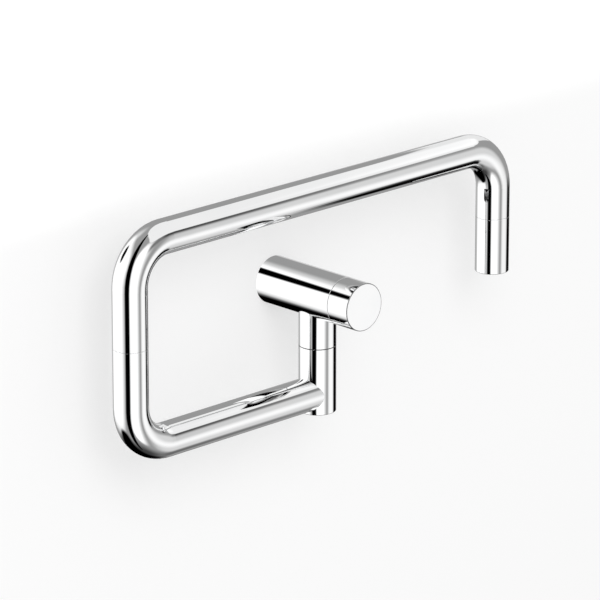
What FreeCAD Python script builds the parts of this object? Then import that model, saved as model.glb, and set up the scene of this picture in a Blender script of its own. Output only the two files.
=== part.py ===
"""Wall-mounted folding pot filler: a horizontal valve body with a front knob, a swivel post under it,
a lower arm, an elbow swivel, an upper arm and a twist outlet with its aerator.

Millimetres. The origin is the centre of the body's rear face, in the plane of the wall. +Z is up, +X is
to the right for someone facing the wall, and the body comes out of the wall along -Y.
"""
import FreeCAD, Part

import math
import os

Vector = FreeCAD.Vector
ORIGIN = Vector(0, 0, 0)
X_AXIS = Vector(1, 0, 0)
Z_AXIS = Vector(0, 0, 1)

# ---------------------------------------------------------------- driving dimensions

# Arms
tube_diameter = 25.0
tube_wall = 1.5
bend_radius = 31.0              # to the tube's centre line
lower_arm_length = 180.0        # post axis to elbow axis
upper_arm_length = 360.0        # elbow axis to outlet axis
lower_arm_drop = 74.0           # lower arm's axis below the body's axis
upper_arm_rise = 73.5           # upper arm's axis above the elbow seam
elbow_seam_rise = 74.5          # elbow seam above the lower arm's axis
outlet_drop = 96.5              # outlet's end below the upper arm's axis
outlet_sleeve_length = 42.0

# Body, knob and post
body_diameter = 35.0
post_offset = 45.0              # post axis in front of the wall
front_reach = 47.0              # knob's front face in front of the post axis
knob_length = 19.5
post_over_tube = 1.0            # how much the post's radius exceeds the tube's
post_seam_drop = 38.5           # post seam below the body's axis
post_foot = 1.5                 # post's end below the underside of the lower arm

# Seams, edges and fits
seam_gap = 0.4                  # open line between two pieces that turn on each other
edge_chamfer = 0.4
seam_chamfer = 0.15
running_clearance = 0.03        # radial, between a journal and its bore
face_clearance = 0.05           # between flat faces that turn on each other
slip_clearance = 0.05           # radial, between pieces pushed together at assembly
room = 0.2                      # free space beside a piece that only has to pass
cut_margin = 1.0                # how far a cut runs past the surface it opens

# Wall connection
thread_radius = 10.4775         # G1/2, at its major diameter
thread_length = 15.0            # behind the wall
nipple_flange_radius = 11.5
nipple_flange_thickness = 2.5
nipple_spigot_radius = 9.5
nipple_bore_radius = 5.5
nipple_key_width = 12.0         # hexagon key, across flats
nipple_key_depth = 7.0
nipple_ring_radius = 0.9        # section of the two O-rings
nipple_groove_floor = 8.6
nipple_groove_width = 4.4
nipple_groove_depth_in = 5.0    # groove's near side in front of the wall
nipple_end_gap = 1.0            # spigot's end short of the socket's floor
nipple_ring_depths = (3.0, 6.5)  # O-rings behind the spigot's end
flange_depth_room = 0.5
strainer_radius = 8.0
strainer_thickness = 1.0
strainer_hole_radius = 0.6
strainer_hole_pitch = 2.2
strainer_hole_margin = 0.3
gasket_width = 1.4
gasket_thickness = 1.2
gasket_inset = 1.0              # gasket's rim inside the body's rim
body_screw_radius = 2.5         # M5
knob_screw_radius = 2.0         # M4
screw_sink = 0.8                # how far a grub screw lies under the surface
screw_key_share = 0.5           # hexagon key, across flats, over the screw's diameter
screw_key_depth = 2.0
screw_point_share = 0.5         # cone point's flat, over the screw's diameter
screw_chamfer = 0.3

# Valve body
body_web = 4.0                  # wall between the inlet socket and the chamber
inlet_port_radius = 5.0
chamber_radius = 10.2
chamber_past_post = 5.5         # chamber's front end past the post axis
port_radius = 5.0
port_roof = 1.8                 # wall between the chamber and the end of the post's thread
front_wall = 2.0                # wall of the front recess and of the knob
knob_face_thickness = 4.0

# Headwork, a quarter-turn ceramic valve
headwork_length = 26.0          # seat to flange seat
headwork_thread_radius = 8.3    # G3/8
headwork_thread_length = 5.0
headwork_skirt_radius = 7.4
headwork_skirt_bore = 6.75
headwork_skirt_gap = 0.6        # skirt's end above the seat
headwork_flange_radius = 10.2
headwork_flange_thickness = 1.5
headwork_flange_room = 0.4
headwork_gasket_thickness = 1.0
headwork_hex = 17.0             # across flats
headwork_hex_height = 3.5
headwork_neck_radius = 6.5
headwork_neck_height = 2.0
headwork_window_width = 100.0   # degrees, one of two opposite side windows
headwork_window_land = 0.5
headwork_sink = 3.0             # flange seat behind the front recess's floor
seat_washer_thickness = 1.8
disc_thickness = 2.5
disc_clearance = 0.02           # polished discs run face to face
disc_window_width = 78.0        # degrees, one of two opposite windows
disc_hub_radius = 2.0
disc_rim_room = 0.25
driver_radius = 6.2
driver_thickness = 2.5
tang_width = 2.5
tang_depth = 1.0
spindle_radius = 3.9
spindle_ring_radius = 0.7
spindle_ring_depths = (2.0, 5.2)  # O-rings in front of the post axis
spindle_chamfer = 0.4
spindle_end_gap = 1.0           # spindle's end behind the knob's face
stop_height = 2.0
stop_hub_wall = 0.5
stop_tab_width = 48.0           # degrees
stop_slack = 1.0                # degrees of play at each stop
quarter_turn = 90.0
spline_teeth = 20
spline_depth = 0.5
spline_offset = 2.5             # spline's start in front of the stop

# Knob carrier
guide_ring_wall = 1.2
carrier_skirt_wall = 1.6
carrier_thickness = 8.0
carrier_skirt_gap = 1.5         # skirt's end short of the recess's floor
guide_ring_gap = 1.0            # guide ring's end short of the knob seam

# Swivels of the post and the elbow
socket_wall = 2.9               # brass between a journal and the tube's bore
spigot_wall = 2.8               # brass between a journal and its water bore
swivel_washer_thickness = 2.0
washer_rim_room = 0.3
swivel_flange_thickness = 2.5
swivel_ring_radius = 1.0
ring_land = 1.2                 # metal left beside an O-ring groove
ring_side_room = 0.15           # groove's wall beside an O-ring
snap_ring_thickness = 1.2
snap_ring_bite = 0.8            # how deep a snap ring sits in its shaft
snap_ring_proud = 0.9           # how far a snap ring stands out of its shaft
snap_ring_gap = 40.0            # degrees
spindle_clip_gap = 80.0         # degrees
spindle_clip_thickness = 1.1
spindle_clip_lift = 0.1         # clip above the stop washer
post_wall = 3.0
end_cap_thickness = 2.5
braze_reach = 4.0               # lower tube's end short of the post axis
circlip_proud = 1.6
spigot_tail = 2.0               # shaft past its retaining ring
elbow_insert_length = 21.0
elbow_journal_length = 24.0
elbow_socket_over = 2.0         # socket past the journal's end

# Outlet
stem_insert_length = 13.0
stem_shoulder = 0.8             # stem's shoulder inside the tube's end
stem_land = 1.5                 # stem's journal below the tube's bore
stem_wall = 3.5                 # brass between the stem's journal and its water bore
stop_pin_radius = 0.5
stop_pin_grip = 4.0
stop_pin_reach = 2.6            # below the outlet seam
stop_slot_depth = 3.0
stop_slot_land = 1.0            # metal between the slot and the snap ring's groove
outlet_ring_radius = 0.9
outlet_disc_seal = 1.0
outlet_disc_inset = 1.2         # fixed disc's rim inside the stem's journal
outlet_disc_top = 11.5          # fixed disc below the outlet seam
outlet_disc_proud = 0.3
outlet_web = 2.0
outlet_web_rim = 2.0
outlet_key_width = 3.0
outlet_key_height = 2.2
outlet_key_depth = 1.0
outlet_key_root = 0.5           # how deep a key is let into the sleeve's wall
outlet_rim_room = 0.15
aerator_wall = 1.75             # sleeve's wall around the aerator
aerator_length = 11.0
aerator_ledge = 1.7
aerator_recess = 0.6
aerator_washer_thickness = 1.0
aerator_washer_lip = 1.0        # washer inside the ledge's bore
aerator_ring_wall = 1.3
aerator_hole_radius = 0.7
aerator_hole_pitch = 2.0
aerator_hole_margin = 1.0
aerator_insert_recess = 0.8     # insert's face inside the ring's
aerator_notches = 4
aerator_notch_width = 2.4
aerator_notch_depth = 1.2

# ---------------------------------------------------------------- sizes and places that follow

tube_radius = tube_diameter / 2
tube_bore = tube_radius - tube_wall
body_radius = body_diameter / 2
post_radius = tube_radius + post_over_tube
half_seam = seam_gap / 2

front_face = post_offset + front_reach
knob_seam = front_face - knob_length
flange_seat = post_offset + chamber_past_post + headwork_thread_length
valve_seat = flange_seat - headwork_length
socket_end = valve_seat - body_web
recess_floor = flange_seat + headwork_sink
recess_radius = body_radius - front_wall
spigot_end = socket_end - nipple_end_gap
nipple_ring_heights = tuple(spigot_end - depth for depth in nipple_ring_depths)
grub_depth = nipple_groove_depth_in + nipple_groove_width / 2

stop_floor = (flange_seat + headwork_gasket_thickness + headwork_flange_thickness
              + headwork_hex_height + headwork_neck_height)
stop_free_middle = 90 + quarter_turn / 2     # the tab starts upright and turns away from it
disc_low = valve_seat + seat_washer_thickness
moving_low = disc_low + disc_thickness + disc_clearance
driver_low = disc_low + 2 * disc_thickness
spindle_ring_heights = tuple(post_offset + depth for depth in spindle_ring_depths)
spindle_clip_low = stop_floor + stop_height + spindle_clip_lift
spline_start = stop_floor + stop_height + spline_offset
carrier_front = front_face - knob_face_thickness
spindle_end = carrier_front - spindle_end_gap
guide_inner = recess_radius - guide_ring_wall
skirt_outer = guide_inner - running_clearance
knob_screw_depth = carrier_front - carrier_thickness / 2

journal_radius = tube_bore - socket_wall
water_bore = journal_radius - spigot_wall
washer_outer = tube_bore - room
half_washer = swivel_washer_thickness / 2
ring_half_width = swivel_ring_radius + ring_side_room

post_seam = -post_seam_drop
post_end = -(lower_arm_drop + tube_radius + post_foot)
post_bore = post_radius - post_wall
post_bore_top = -(lower_arm_drop - tube_radius - post_over_tube)
body_thread_top = -(chamber_radius + port_roof)
swivel_flange_low = post_seam + half_washer
swivel_flange_high = swivel_flange_low + swivel_flange_thickness
swivel_flange_radius = washer_outer
swivel_ring_heights = tuple(
    post_seam - half_washer - (i + 1) * ring_land - (2 * i + 1) * ring_half_width for i in range(2)
)
circlip_top = post_bore_top - face_clearance - snap_ring_thickness
elbow_ring_heights = tuple(
    half_washer + (i + 1) * ring_land + (2 * i + 1) * ring_half_width for i in range(2)
)
elbow_snap_low = elbow_journal_length - spigot_tail - snap_ring_thickness

elbow_x = -lower_arm_length
elbow_z = elbow_seam_rise - lower_arm_drop
upper_arm_z = elbow_z + upper_arm_rise
outlet_x = elbow_x + upper_arm_length
outlet_z = upper_arm_z - outlet_drop + outlet_sleeve_length

stem_radius = tube_bore - stem_land
stem_bore_radius = stem_radius - stem_wall
stop_pin_offset = tube_bore - stem_land / 2
fixed_disc_radius = stem_radius - outlet_disc_inset
stem_end = -(outlet_disc_top + disc_thickness - outlet_disc_proud)
moving_disc_top = -(outlet_disc_top + disc_thickness) - disc_clearance
moving_disc_low = moving_disc_top - disc_thickness
sleeve_bore = stem_radius + running_clearance
sleeve_end = -outlet_sleeve_length
aerator_bore = tube_radius - aerator_wall
aerator_top = sleeve_end + aerator_length
outlet_snap_low = -(stop_slot_depth + stop_slot_land + snap_ring_thickness)
outlet_ring_heights = (outlet_snap_low - ring_land - outlet_ring_radius - ring_side_room,)

lower_tube_corners = [
    Vector(-braze_reach, -post_offset, -lower_arm_drop),
    Vector(elbow_x, -post_offset, -lower_arm_drop),
    Vector(elbow_x, -post_offset, elbow_z - half_seam),
]
upper_tube_corners = [
    Vector(elbow_x, -post_offset, elbow_z + half_seam),
    Vector(elbow_x, -post_offset, upper_arm_z),
    Vector(outlet_x, -post_offset, upper_arm_z),
    Vector(outlet_x, -post_offset, outlet_z + half_seam),
]

# ---------------------------------------------------------------- shapes


def turned(outline):
    """Solid of revolution about local Z, from its (radius, height) corners."""
    corners = [Vector(radius, 0, height) for radius, height in outline]
    profile = Part.Face(Part.makePolygon(corners + corners[:1]))
    return profile.revolve(ORIGIN, Z_AXIS, 360)


def rod(radius, low, high):
    """Cylinder on local Z between two heights."""
    return Part.makeCylinder(radius, high - low, Vector(0, 0, low), Z_AXIS)


def ring(outer, inner, low, high):
    """Flat-ended ring on local Z between two heights."""
    return turned([(inner, low), (outer, low), (outer, high), (inner, high)])


def sector(inner, outer, low, high, middle, width):
    """Piece of a ring, width degrees wide, centred on the direction middle degrees from local X."""
    piece = Part.makeCylinder(outer, high - low, Vector(0, 0, low), Z_AXIS, width)
    piece.rotate(ORIGIN, Z_AXIS, middle - width / 2)
    return piece.cut(rod(inner, low, high))


def split_ring(outer, inner, low, high, opening):
    """Ring with a gap of opening degrees, centred on local -X."""
    return ring(outer, inner, low, high).cut(sector(inner / 2, outer * 2, low, high, 180, opening))


def snap_ring_room(shaft_radius, low):
    """Groove in a bore for the part of a snap ring that stands out of its shaft."""
    return ring(shaft_radius + snap_ring_proud + room, shaft_radius - cut_margin / 2, low - room,
                low + snap_ring_thickness + room)


def hexagon(across_flats, low, high):
    """Hexagonal bar on local Z."""
    corner_radius = across_flats / math.sqrt(3)
    corners = [
        Vector(corner_radius * math.cos(math.radians(60 * i)),
               corner_radius * math.sin(math.radians(60 * i)), low)
        for i in range(7)
    ]
    return Part.Face(Part.makePolygon(corners)).extrude(Vector(0, 0, high - low))


def o_ring(outer, section, height):
    """O-ring whose rim has the radius outer."""
    return Part.makeTorus(outer - section, section, Vector(0, 0, height), Z_AXIS)


def ring_groove(outer, section, height):
    """Cut for an O-ring in a shaft of radius outer."""
    half_width = section + ring_side_room
    return ring(outer + cut_margin, outer - 2 * section, height - half_width, height + half_width)


def hole_grid(reach, pitch, hole_radius, low, high):
    """Round holes on a triangular grid, as far out as reach allows."""
    holes = []
    rows = int(reach / pitch) + 1
    for row in range(-rows, rows + 1):
        for column in range(-rows, rows + 1):
            x = pitch * (column + row / 2)
            y = pitch * row * math.sqrt(3) / 2
            if math.hypot(x, y) + hole_radius <= reach:
                holes.append(Part.makeCylinder(hole_radius, high - low, Vector(x, y, low), Z_AXIS))
    return Part.makeCompound(holes)


def disc_windows(outer, low, high, middle):
    """Two opposite windows of a ceramic disc."""
    first = sector(disc_hub_radius, outer, low, high, middle, disc_window_width)
    return first.fuse(sector(disc_hub_radius, outer, low, high, middle + 180, disc_window_width))


def grub_screw(radius, tip, head):
    """Grub screw on local Z with a cone point at tip and a hexagon key socket at head."""
    point = radius * screw_point_share
    screw = turned([(0, tip), (point, tip), (radius, tip + radius - point),
                    (radius, head - screw_chamfer), (radius - screw_chamfer, head), (0, head)])
    key = hexagon(2 * radius * screw_key_share, head - screw_key_depth, head)
    return screw.cut(key)


def bent_bar(corners, radius):
    """Round bar that runs straight between the corners, with a right-angle bend at each inner one."""
    pieces = []
    start = corners[0]
    for before, corner, after in zip(corners, corners[1:], corners[2:]):
        incoming = (corner - before).normalize()
        outgoing = (after - corner).normalize()
        bend_start = corner - incoming * bend_radius
        pieces.append(Part.makeCylinder(radius, (bend_start - start).Length, start, incoming))
        profile = Part.Face(Part.Wire(Part.makeCircle(radius, bend_start, incoming)))
        pivot = bend_start + outgoing * bend_radius
        pieces.append(profile.revolve(pivot, incoming.cross(outgoing), 90))
        start = corner + outgoing * bend_radius
    last_run = corners[-1] - start
    pieces.append(Part.makeCylinder(radius, last_run.Length, start, last_run))
    return pieces[0].fuse(pieces[1:]).removeSplitter()


def bent_tube(corners):
    """Arm tube through the given corners of its centre line."""
    return bent_bar(corners, tube_radius).cut(bent_bar(corners, tube_bore))


def tube_end_chamfer(height, metal_below):
    """Cut that breaks the outer edge of a tube's end at a seam."""
    side = 1 if metal_below else -1
    far = height - side * seam_chamfer
    outer = tube_radius + cut_margin
    return turned([(tube_radius - seam_chamfer, height), (outer, height), (outer, far),
                   (tube_radius, far)])


# ---------------------------------------------------------------- local frames


def in_place(shape):
    """For a shape made where it stands."""
    return shape


def on_body(shape):
    """Local Z runs along the body's axis, out of the wall, and local Y is up."""
    shape.rotate(ORIGIN, X_AXIS, 90)
    return shape


def on_post(shape):
    """Local Z is the post's axis, and heights count from the body's axis."""
    shape.translate(Vector(0, -post_offset, 0))
    return shape


def on_elbow(shape):
    """Local Z is the elbow's axis, and heights count from the elbow seam."""
    shape.translate(Vector(elbow_x, -post_offset, elbow_z))
    return shape


def on_outlet(shape):
    """Local Z is the outlet's axis, and heights count from the outlet seam."""
    shape.translate(Vector(outlet_x, -post_offset, outlet_z))
    return shape


def upright_in_body(shape):
    """Turns local Z to the body frame's downward direction, for screws that enter from below."""
    shape.rotate(ORIGIN, X_AXIS, 90)
    return shape


# ---------------------------------------------------------------- wall connection

def inlet_nipple():
    """Connector that screws into the wall fitting up to its flange; the body slides over its spigot."""
    nipple = turned([
        (nipple_bore_radius, -thread_length), (thread_radius, -thread_length),
        (thread_radius, 0), (nipple_flange_radius, 0),
        (nipple_flange_radius, nipple_flange_thickness), (nipple_spigot_radius, nipple_flange_thickness),
        (nipple_spigot_radius, spigot_end), (nipple_bore_radius, spigot_end),
    ])
    grub_groove = ring(nipple_spigot_radius + cut_margin, nipple_groove_floor,
                       nipple_groove_depth_in, nipple_groove_depth_in + nipple_groove_width)
    nipple = nipple.cut(grub_groove)
    for height in nipple_ring_heights:
        nipple = nipple.cut(ring_groove(nipple_spigot_radius, nipple_ring_radius, height))
    nipple = nipple.cut(hexagon(nipple_key_width, spigot_end - nipple_key_depth, spigot_end))
    return nipple.cut(rod(strainer_radius, -thread_length, -thread_length + strainer_thickness))


def inlet_strainer():
    """Perforated disc in the nipple's rear mouth."""
    low, high = -thread_length, -thread_length + strainer_thickness
    holes = hole_grid(nipple_bore_radius - strainer_hole_margin, strainer_hole_pitch,
                      strainer_hole_radius, low, high)
    return rod(strainer_radius, low, high).cut(holes)


def wall_gasket():
    """Flat ring in the body's rear face, flush with it."""
    rim = body_radius - gasket_inset
    return ring(rim, rim - gasket_width, 0, gasket_thickness)


def body_grub_screw():
    """Locks the body on the nipple's groove, from below."""
    screw = grub_screw(body_screw_radius, nipple_groove_floor, body_radius - screw_sink)
    screw = upright_in_body(screw)
    screw.translate(Vector(0, 0, grub_depth))
    return screw


# ---------------------------------------------------------------- valve body and headwork


def valve_body():
    """Outer body: inlet socket, web with the valve seat, chamber, headwork thread and front recess."""
    shell_end = knob_seam - half_seam
    flange_hole = headwork_flange_radius + headwork_flange_room
    socket_mouth = nipple_flange_radius + room
    socket_mouth_end = nipple_flange_thickness + flange_depth_room
    body = turned([
        (socket_mouth, 0), (body_radius, 0), (body_radius, shell_end - seam_chamfer),
        (body_radius - seam_chamfer, shell_end), (recess_radius, shell_end),
        (recess_radius, recess_floor), (flange_hole, recess_floor),
        (flange_hole, flange_seat), (headwork_thread_radius, flange_seat),
        (headwork_thread_radius, post_offset + chamber_past_post),
        (chamber_radius, post_offset + chamber_past_post), (chamber_radius, valve_seat),
        (inlet_port_radius, valve_seat), (inlet_port_radius, socket_end),
        (nipple_spigot_radius + slip_clearance, socket_end),
        (nipple_spigot_radius + slip_clearance, socket_mouth_end), (socket_mouth, socket_mouth_end),
    ])
    body = body.cut(wall_gasket())
    grub_hole = upright_in_body(
        rod(body_screw_radius, nipple_spigot_radius - cut_margin, body_radius + cut_margin))
    grub_hole.translate(Vector(0, 0, grub_depth))
    body = body.cut(grub_hole)
    for radius, roof in ((journal_radius, body_thread_top), (port_radius, 0)):
        port = upright_in_body(rod(radius, -roof, body_radius + cut_margin))
        port.translate(Vector(0, 0, post_offset))
        body = body.cut(port)
    return body


def headwork_body():
    """Brass body that screws into the chamber and carries the spindle, with two side windows."""
    skirt_end = valve_seat + headwork_skirt_gap
    disc_room_end = driver_low + driver_thickness + face_clearance
    thread_start = flange_seat - headwork_thread_length
    flange_low = flange_seat + headwork_gasket_thickness
    hex_low = flange_low + headwork_flange_thickness
    neck_low = hex_low + headwork_hex_height
    shaft_bore = spindle_radius + running_clearance
    body = turned([
        (headwork_skirt_bore, skirt_end), (headwork_skirt_radius, skirt_end),
        (headwork_skirt_radius, thread_start), (headwork_thread_radius, thread_start),
        (headwork_thread_radius, flange_low), (headwork_flange_radius, flange_low),
        (headwork_flange_radius, hex_low), (headwork_neck_radius, hex_low),
        (headwork_neck_radius, stop_floor), (shaft_bore, stop_floor),
        (shaft_bore, disc_room_end), (headwork_skirt_bore, disc_room_end),
    ])
    nut = hexagon(headwork_hex, hex_low, neck_low).cut(
        rod(headwork_neck_radius - cut_margin, hex_low, neck_low))
    first_window, second_window = [
        sector(headwork_skirt_bore - cut_margin, headwork_skirt_radius + cut_margin, moving_low,
               disc_room_end - headwork_window_land, middle, headwork_window_width)
        for middle in (0, 180)
    ]
    windows = first_window.fuse(second_window)
    free_width = quarter_turn + stop_tab_width + 2 * stop_slack
    stop = sector(spindle_radius + stop_hub_wall + room, headwork_neck_radius, stop_floor,
                  stop_floor + stop_height, stop_free_middle + 180, 360 - free_width)
    return body.fuse([nut, stop]).cut(windows).removeSplitter()


def headwork_gasket():
    return ring(headwork_flange_radius, headwork_thread_radius, flange_seat,
                flange_seat + headwork_gasket_thickness)


def headwork_seat_washer():
    """Rubber washer between the valve seat and the fixed disc."""
    return ring(headwork_skirt_bore, inlet_port_radius, valve_seat, disc_low)


def headwork_fixed_disc():
    disc = rod(headwork_skirt_bore - slip_clearance, disc_low, disc_low + disc_thickness)
    return disc.cut(disc_windows(inlet_port_radius, disc_low, disc_low + disc_thickness, 0))


def tang(low, high, clearance):
    """Cross bar by which the spindle drives the moving disc."""
    bar = Part.makeBox(2 * driver_radius, tang_width + 2 * clearance, high - low,
                       Vector(-driver_radius, -tang_width / 2 - clearance, low))
    return bar.common(rod(driver_radius, low, high))


def headwork_moving_disc():
    """Closed at rest: its windows stand across the fixed disc's, and open at the rim."""
    radius = headwork_skirt_bore - disc_rim_room
    far = radius + cut_margin
    disc = rod(radius, moving_low, driver_low)
    windows = disc_windows(far, moving_low, driver_low, 90)
    slot = Part.makeBox(2 * far, tang_width + 2 * slip_clearance, tang_depth,
                        Vector(-far, -tang_width / 2 - slip_clearance, driver_low - tang_depth))
    return disc.cut(windows).cut(slot)


def spindle():
    shaft = turned([
        (0, driver_low), (driver_radius, driver_low), (driver_radius, driver_low + driver_thickness),
        (spindle_radius, driver_low + driver_thickness),
        (spindle_radius, spindle_end - spindle_chamfer),
        (spindle_radius - spindle_chamfer, spindle_end), (0, spindle_end),
    ])
    shaft = shaft.fuse(tang(driver_low - tang_depth, driver_low, 0))
    for height in spindle_ring_heights:
        shaft = shaft.cut(ring_groove(spindle_radius, spindle_ring_radius, height))
    shaft = shaft.cut(ring(spindle_radius + cut_margin, spindle_radius - snap_ring_bite,
                           spindle_clip_low, spindle_clip_low + spindle_clip_thickness))
    for tooth in range(spline_teeth):
        notch = Part.makeBox(2 * spline_depth, spline_depth, spindle_end - spline_start,
                             Vector(spindle_radius - spline_depth, -spline_depth / 2, spline_start))
        notch.rotate(ORIGIN, Z_AXIS, tooth * 360 / spline_teeth)
        shaft = shaft.cut(notch)
    return shaft


def stop_washer():
    """Keyed on the spindle; its tab runs between the two ends of the headwork's stop."""
    low, high = stop_floor + face_clearance, stop_floor + stop_height
    tab = sector(spindle_radius, headwork_neck_radius - room, low, high, 90, stop_tab_width)
    hub = ring(spindle_radius + stop_hub_wall, spindle_radius, low, high)
    return hub.fuse(tab).removeSplitter()


def spindle_circlip():
    return split_ring(spindle_radius + circlip_proud, spindle_radius - snap_ring_bite,
                      spindle_clip_low, spindle_clip_low + spindle_clip_thickness, spindle_clip_gap)


# ---------------------------------------------------------------- knob


def knob_screw_hole():
    hole = upright_in_body(rod(knob_screw_radius, spindle_radius, body_radius + cut_margin))
    hole.translate(Vector(0, 0, knob_screw_depth))
    return hole


def knob():
    rear = knob_seam + half_seam
    cup = turned([
        (0, carrier_front), (recess_radius, carrier_front), (recess_radius, rear),
        (body_radius - seam_chamfer, rear), (body_radius, rear + seam_chamfer),
        (body_radius, front_face - edge_chamfer), (body_radius - edge_chamfer, front_face),
        (0, front_face),
    ])
    return cup.cut(knob_screw_hole())


def knob_carrier():
    """Hub inside the knob: it grips the spindle's spline and its skirt runs in the guide ring."""
    skirt_inner = skirt_outer - carrier_skirt_wall
    skirt_end = recess_floor + carrier_skirt_gap
    plate_low = carrier_front - carrier_thickness
    carrier = turned([
        (spindle_radius, plate_low), (skirt_inner, plate_low), (skirt_inner, skirt_end),
        (skirt_outer, skirt_end), (skirt_outer, plate_low), (recess_radius, plate_low),
        (recess_radius, carrier_front), (spindle_radius, carrier_front),
    ])
    return carrier.cut(knob_screw_hole())


def knob_grub_screw():
    screw = grub_screw(knob_screw_radius, spindle_radius, body_radius - screw_sink)
    screw = upright_in_body(screw)
    screw.translate(Vector(0, 0, knob_screw_depth))
    return screw


def knob_guide_ring():
    """Plastic ring pressed into the body's front recess."""
    return ring(recess_radius, guide_inner, recess_floor, knob_seam - guide_ring_gap)


# ---------------------------------------------------------------- post swivel

def post_upper():
    """Fixed upper half of the post, clamped between the body and the spigot's flange."""
    low = post_seam + half_seam
    sleeve = turned([
        (swivel_flange_radius + slip_clearance, low), (post_radius - seam_chamfer, low),
        (post_radius, low + seam_chamfer), (post_radius, 0),
        (journal_radius + slip_clearance, 0), (journal_radius + slip_clearance, swivel_flange_high),
        (swivel_flange_radius + slip_clearance, swivel_flange_high),
    ])
    saddle = Part.makeCylinder(body_radius, 4 * body_radius, Vector(0, -2 * body_radius, 0),
                               Vector(0, 1, 0))
    return sleeve.cut(saddle)


def swivel_spigot():
    """Hollow shaft that screws up into the body; the lower post hangs and turns on it."""
    groove_low = circlip_top - snap_ring_thickness
    low = groove_low - spigot_tail
    shaft = turned([
        (water_bore, low), (journal_radius, low), (journal_radius, swivel_flange_low),
        (swivel_flange_radius, swivel_flange_low), (swivel_flange_radius, swivel_flange_high),
        (journal_radius, swivel_flange_high), (journal_radius, body_thread_top),
        (water_bore, body_thread_top),
    ])
    for height in swivel_ring_heights:
        shaft = shaft.cut(ring_groove(journal_radius, swivel_ring_radius, height))
    return shaft.cut(ring(journal_radius + cut_margin, journal_radius - snap_ring_bite, groove_low,
                          circlip_top))


def swivel_upper_washer():
    return ring(washer_outer, journal_radius, post_seam - half_washer, swivel_flange_low)


def swivel_lower_washer():
    return ring(journal_radius + circlip_proud, journal_radius, circlip_top,
                post_bore_top - face_clearance)


def swivel_circlip():
    low = circlip_top - snap_ring_thickness
    return split_ring(journal_radius + circlip_proud, journal_radius - snap_ring_bite, low, circlip_top,
                      snap_ring_gap)


# ---------------------------------------------------------------- lower arm


def post_lower():
    """Turning half of the post, open below and on the side where the lower tube enters."""
    high = post_seam - half_seam
    washer_floor = post_seam - half_washer - face_clearance
    washer_room = washer_outer + washer_rim_room
    journal_bore = journal_radius + running_clearance
    post = turned([
        (post_bore, post_end), (post_radius - edge_chamfer, post_end),
        (post_radius, post_end + edge_chamfer), (post_radius, high - seam_chamfer),
        (post_radius - seam_chamfer, high), (washer_room, high), (washer_room, washer_floor),
        (journal_bore, washer_floor), (journal_bore, post_bore_top), (post_bore, post_bore_top),
    ])
    tube_hole = Part.makeCylinder(tube_radius, post_radius, Vector(-braze_reach, 0, -lower_arm_drop),
                                  Vector(-1, 0, 0))
    return post.cut(tube_hole)


def post_end_cap():
    return rod(post_bore, post_end, post_end + end_cap_thickness)


def lower_arm_tube():
    """Tube with one bend; its inner end is coped to the post's bore."""
    tube = bent_tube(lower_tube_corners)
    post_hollow = on_post(rod(post_bore, post_end, post_bore_top))
    tube = tube.cut(post_hollow)
    return tube.cut(on_elbow(tube_end_chamfer(-half_seam, True)))


# ---------------------------------------------------------------- elbow swivel

def elbow_spigot():
    """Brazed into the lower tube; its journal stands up into the upper tube's socket."""
    shoulder = -half_washer
    spigot = turned([
        (water_bore, shoulder - elbow_insert_length), (tube_bore, shoulder - elbow_insert_length),
        (tube_bore, shoulder), (journal_radius, shoulder),
        (journal_radius, elbow_journal_length), (water_bore, elbow_journal_length),
    ])
    for height in elbow_ring_heights:
        spigot = spigot.cut(ring_groove(journal_radius, swivel_ring_radius, height))
    return spigot.cut(ring(journal_radius + cut_margin, journal_radius - snap_ring_bite,
                           elbow_snap_low, elbow_snap_low + snap_ring_thickness))


def elbow_washer():
    return ring(washer_outer, journal_radius, -half_washer, half_washer)


def elbow_snap_ring():
    """Snaps out of the spigot's groove into the socket's, and holds the two arms together."""
    return split_ring(journal_radius + snap_ring_proud, journal_radius - snap_ring_bite,
                      elbow_snap_low, elbow_snap_low + snap_ring_thickness, snap_ring_gap)


def elbow_socket():
    """Brazed into the upper tube's lower end."""
    bore = journal_radius + running_clearance
    socket = ring(tube_bore, bore, half_washer + face_clearance,
                  elbow_journal_length + elbow_socket_over)
    return socket.cut(snap_ring_room(journal_radius, elbow_snap_low))


# ---------------------------------------------------------------- upper arm


def upper_arm_tube():
    """Tube with two bends, from the elbow seam over the body to the outlet seam."""
    tube = bent_tube(upper_tube_corners)
    tube = tube.cut(on_elbow(tube_end_chamfer(half_seam, False)))
    return tube.cut(on_outlet(tube_end_chamfer(half_seam, False)))


# ---------------------------------------------------------------- outlet


def outlet_stem():
    """Brazed into the upper tube's outlet end; the sleeve turns on its journal."""
    seal_top = -outlet_disc_top + outlet_disc_seal
    disc_room = fixed_disc_radius + slip_clearance
    stem = turned([
        (stem_bore_radius, stem_shoulder + stem_insert_length),
        (tube_bore, stem_shoulder + stem_insert_length), (tube_bore, stem_shoulder),
        (stem_radius, stem_shoulder), (stem_radius, stem_end), (disc_room, stem_end),
        (disc_room, seal_top), (stem_bore_radius, seal_top),
    ])
    for height in outlet_ring_heights:
        stem = stem.cut(ring_groove(stem_radius, outlet_ring_radius, height))
    stem = stem.cut(ring(stem_radius + cut_margin, stem_radius - snap_ring_bite, outlet_snap_low,
                         outlet_snap_low + snap_ring_thickness))
    return stem.cut(outlet_stop_pin())


def outlet_stop_pin():
    """Dowel in the stem's shoulder that runs in the sleeve's quarter-turn slot."""
    pin = rod(stop_pin_radius, -stop_pin_reach, stem_shoulder + stop_pin_grip)
    pin.translate(Vector(0, -stop_pin_offset, 0))
    return pin


def outlet_snap_ring():
    return split_ring(stem_radius + snap_ring_proud, stem_radius - snap_ring_bite, outlet_snap_low,
                      outlet_snap_low + snap_ring_thickness, snap_ring_gap)


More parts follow.
